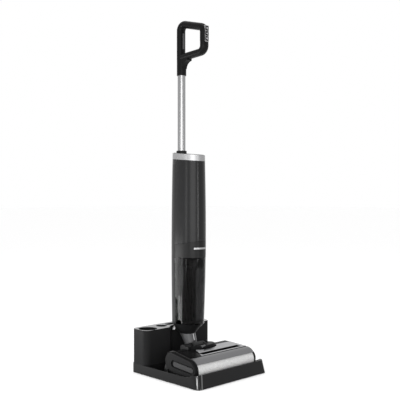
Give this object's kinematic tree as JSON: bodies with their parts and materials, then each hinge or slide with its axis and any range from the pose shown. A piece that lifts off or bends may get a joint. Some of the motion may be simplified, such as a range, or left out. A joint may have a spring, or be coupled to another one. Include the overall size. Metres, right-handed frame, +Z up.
{
  "type": "wet dry floor scrubber",
  "caption": "Upright wet dry floor scrubber with roller head, clear dirty-water tank, pole and loop handle, standing in its charging dock with accessory sockets.",
  "frame": {"origin": "centre of the dock's footprint, on the floor", "axes": "+Z up, the machine faces -Y, +X is the machine's left side"},
  "size_m": [0.3, 0.305, 1.1191],
  "materials": {
    "dark_gloss_plastic": "gloss",
    "black_gloss_plastic": "high gloss",
    "black_plastic": "satin",
    "graphite_plastic": "satin",
    "front_gloss": "gloss",
    "grip_plastic": "satin",
    "grey_plastic": "satin",
    "silver_plastic": "satin",
    "chrome_trim": "polished",
    "aluminium_tube": "satin",
    "steel": "brushed",
    "motor_metal": "satin",
    "contact_metal": "polished",
    "black_rubber": "matte",
    "wheel_rubber": "matte",
    "microfibre": "short dense pile",
    "circuit_board": "satin",
    "smoky_clear": "smoky clear plastic"
  },
  "bodies": {
    "dock": {"dock_tray": "dark_gloss_plastic", "dock_feet": "black_rubber", "dock_tower": "dark_gloss_plastic", "dock_tower_trim": "silver_plastic", "dock_contacts": "contact_metal", "power_inlet": "black_plastic"},
    "head": {"head_chassis": "black_plastic", "head_hood": "black_gloss_plastic", "side_cover_left": "dark_gloss_plastic", "side_cover_right": "dark_gloss_plastic", "roller_pull_grip": "grey_plastic", "head_axles": "steel", "drive_belt": "black_rubber", "roller_motor": "motor_metal", "scraper_blade": "black_rubber", "rear_squeegee": "black_rubber", "suction_duct": "black_plastic"},
    "roller": {"roller_core": "grey_plastic", "roller_pile": "microfibre", "roller_end_cap": "black_plastic", "roller_drive_cap": "black_plastic"},
    "roller_drive": {"motor_pulley": "black_plastic"},
    "wheel_left": {"rear_wheel_left": "wheel_rubber"},
    "wheel_right": {"rear_wheel_right": "wheel_rubber"},
    "roller_cover": {"roller_cover_shell": "black_gloss_plastic", "roller_cover_lip": "smoky_clear", "roller_cover_trim": "silver_plastic", "roller_cover_window": "black_gloss_plastic"},
    "cover_button": {"cover_release_button": "silver_plastic"},
    "neck": {"neck_yoke": "grey_plastic", "pivot_pin": "steel", "neck_shield": "grey_plastic", "neck_trim": "chrome_trim"},
    "main_body": {"base_collar": "black_plastic", "upper_shell": "graphite_plastic", "front_panel": "front_gloss", "silver_collar": "silver_plastic", "top_cap": "black_gloss_plastic", "spine_shell": "graphite_plastic", "battery_pack": "black_plastic", "water_pump": "black_plastic", "suction_motor": "motor_metal", "control_board": "circuit_board", "pole_socket": "black_plastic", "pole": "aluminium_tube", "handle_shell_left": "grip_plastic", "handle_shell_right": "grip_plastic", "button_bezel": "silver_plastic", "grip_inlay": "grey_plastic"},
    "dirty_water_tank": {"dirty_tank": "smoky_clear", "tank_lid": "graphite_plastic", "tank_inlet_pipe": "black_plastic", "inlet_deflector": "black_gloss_plastic"},
    "latch": {"tank_latch": "silver_plastic"},
    "clean_water_tank": {"clean_tank": "graphite_plastic", "clean_tank_cap": "black_rubber"},
    "fan": {"fan_impeller": "aluminium_tube"},
    "power_key": {"button_power": "black_gloss_plastic"},
    "mode_key": {"button_mode": "black_gloss_plastic"},
    "clean_key": {"button_clean": "black_gloss_plastic"}
  },
  "joints": [
    {"name": "lift_off", "type": "slide", "parent": "dock", "child": "head", "axis": [0, 0, 1], "range_m": [0, 0.45]},
    {"name": "recline", "type": "hinge", "parent": "head", "child": "neck", "pos_m": [0, 0.014, 0.082], "axis": [-1, 0, 0], "range_deg": [0, 70]},
    {"name": "steer", "type": "hinge", "parent": "neck", "child": "main_body", "pos_m": [0, 0.051, 0.125], "axis": [0, 0, 1], "range_deg": [-35, 35]},
    {"name": "roller_spin", "type": "hinge", "parent": "head", "child": "roller", "pos_m": [0, -0.088, 0.041], "axis": [1, 0, 0], "continuous": true},
    {"name": "motor_pulley_spin", "type": "hinge", "parent": "head", "child": "roller_drive", "pos_m": [0, -0.02, 0.045], "axis": [1, 0, 0], "continuous": true},
    {"name": "left_wheel_spin", "type": "hinge", "parent": "head", "child": "wheel_left", "pos_m": [-0.107, 0.005, 0.0274], "axis": [1, 0, 0], "continuous": true},
    {"name": "right_wheel_spin", "type": "hinge", "parent": "head", "child": "wheel_right", "pos_m": [0.107, 0.005, 0.0274], "axis": [1, 0, 0], "continuous": true},
    {"name": "cover_lift", "type": "slide", "parent": "head", "child": "roller_cover", "axis": [0, 0, 1], "range_m": [0, 0.06]},
    {"name": "cover_release_press", "type": "slide", "parent": "head", "child": "cover_button", "axis": [0, 0, -1], "range_m": [0, 0.0015], "stiffness_N_per_m": 400, "springref_m": -0.001},
    {"name": "dirty_tank_slide", "type": "slide", "parent": "main_body", "child": "dirty_water_tank", "axis": [0, -1, 0], "range_m": [0, 0.14]},
    {"name": "tank_latch_press", "type": "slide", "parent": "dirty_water_tank", "child": "latch", "axis": [0, 1, 0], "range_m": [0, 0.002], "stiffness_N_per_m": 400, "springref_m": -0.001},
    {"name": "clean_tank_slide", "type": "slide", "parent": "main_body", "child": "clean_water_tank", "axis": [0, 1, 0], "range_m": [0, 0.1]},
    {"name": "fan_spin", "type": "hinge", "parent": "main_body", "child": "fan", "pos_m": [0, 0.027, 0.432], "axis": [0, 0, 1], "continuous": true},
    {"name": "power_press", "type": "slide", "parent": "main_body", "child": "power_key", "axis": [0, 1, 0], "range_m": [0, 0.001], "stiffness_N_per_m": 400, "springref_m": -0.001},
    {"name": "mode_press", "type": "slide", "parent": "main_body", "child": "mode_key", "axis": [0, 1, 0], "range_m": [0, 0.001], "stiffness_N_per_m": 400, "springref_m": -0.001},
    {"name": "clean_press", "type": "slide", "parent": "main_body", "child": "clean_key", "axis": [0, 1, 0], "range_m": [0, 0.001], "stiffness_N_per_m": 400, "springref_m": -0.001}
  ],
  "couplings": [
    {"joint": "recline", "follows": "lift_off", "rad_per_m": 2.7149},
    {"joint": "motor_pulley_spin", "follows": "roller_spin", "ratio": 1.5556}
  ]
}
